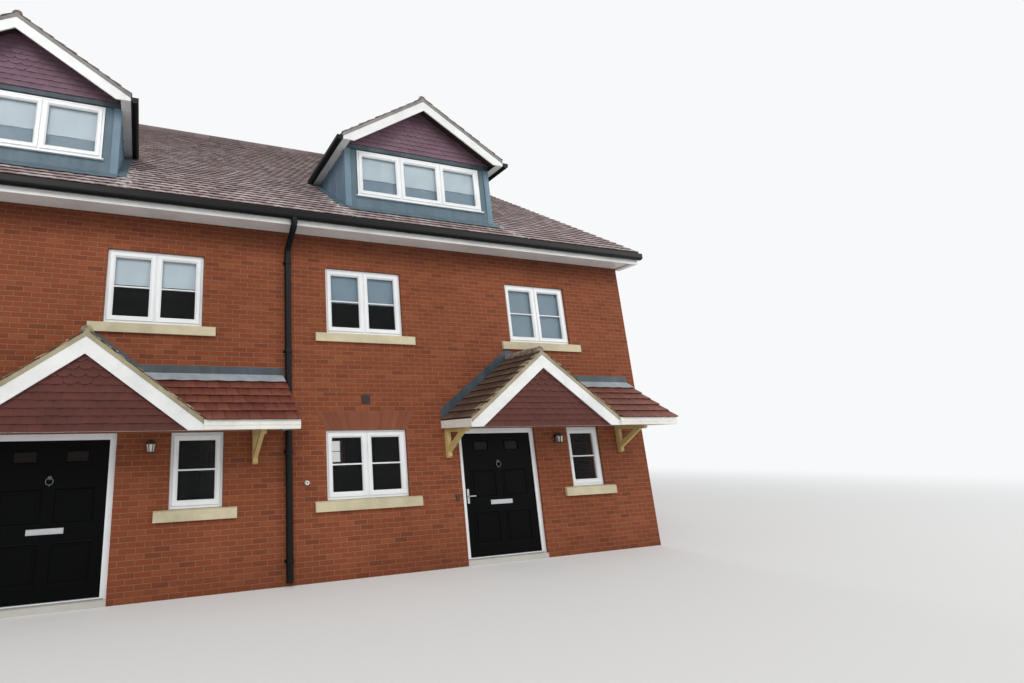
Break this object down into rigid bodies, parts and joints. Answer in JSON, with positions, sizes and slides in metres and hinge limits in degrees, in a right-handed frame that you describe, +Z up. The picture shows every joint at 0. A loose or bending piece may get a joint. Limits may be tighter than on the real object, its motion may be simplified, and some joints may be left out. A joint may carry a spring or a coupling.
{
  "type": "terraced house row",
  "caption": "Brick terraced houses under a tiled roof, with gabled dormers, porches whose gable meets a lean-to roof, and hinged front doors.",
  "frame": {"origin": "on the ground, on the line between the two houses, half way from front to back", "axes": "+X along the row to the right seen from the street, +Y from front to back, +Z up"},
  "size_m": [14.262, 14.042, 11.0855],
  "materials": {
    "brick": "multi-red facing brick with sand and cement mortar",
    "plaster": "plain concrete and plaster",
    "floorboard": "plain chipboard floor",
    "roof_tile": "sanded plain tiles in mixed reds",
    "hung_tile": "dark red plain tiles hung on battens",
    "white_board": "white roofline board, satin",
    "white_frame": "white window and door frame, satin",
    "lead": "blue-grey lead sheet",
    "black_pipe": "black rainwater goods, satin",
    "stone": "cream cast stone",
    "bracket_timber": "weathered buff-stained timber",
    "glass": "clear sealed units",
    "door_paint": "black panelled door, gloss",
    "door_steel": "satin steel",
    "black_metal": "black paint",
    "brown_plastic": "brown cover"
  },
  "bodies": {
    "house": {"ground_slabs": "plaster", "first_floors": "floorboard", "attic_floors": "floorboard", "front_wall_left": "brick", "front_wall_middle": "brick", "front_wall_right": "brick", "front_wall_upper": "brick", "rear_wall": "brick", "gable_wall": "brick", "end_party_wall": "brick", "party_wall": "brick", "front_roof_eaves": "roof_tile", "front_roof_middle": "roof_tile", "front_roof_top": "roof_tile", "rear_roof_slope": "roof_tile", "ridge_tiles": "roof_tile", "verge_boards": "white_board", "fascias": "white_board", "soffits": "white_board", "gutters": "black_pipe", "downpipes": "black_pipe", "dormer_fronts": "lead", "dormer_cheeks": "lead", "dormer_gables": "hung_tile", "dormer_roof_slopes": "roof_tile", "dormer_barge_boards": "white_board", "dormer_window_frames": "white_frame", "lead_flashings": "lead", "porch_gable_slopes": "roof_tile", "porch_lean_tos": "roof_tile", "porch_gables": "hung_tile", "porch_barge_boards": "white_board", "porch_fascias": "white_board", "porch_soffits": "white_board", "porch_brackets": "bracket_timber", "ground_window_frames": "white_frame", "first_window_frames": "white_frame", "rear_window_frames": "white_frame", "window_glass": "glass", "stone_sills": "stone", "door_frames": "white_frame", "door_hinges": "door_steel", "wall_lanterns": "black_metal", "wall_fittings": "brown_plastic"},
    "left_door": {"left_door": "door_paint", "left_door_lights": "glass", "left_door_furniture": "door_steel"},
    "right_door": {"right_door": "door_paint", "right_door_lights": "glass", "right_door_furniture": "door_steel"}
  },
  "joints": [
    {"name": "left_door_hinge", "type": "hinge", "parent": "house", "child": "left_door", "pos_m": [-2.6535, -6.178, 1.104], "axis": [0, 0, -1], "range_deg": [0, 90]},
    {"name": "right_door_hinge", "type": "hinge", "parent": "house", "child": "right_door", "pos_m": [4.4065, -6.178, 1.104], "axis": [0, 0, -1], "range_deg": [0, 90]}
  ]
}
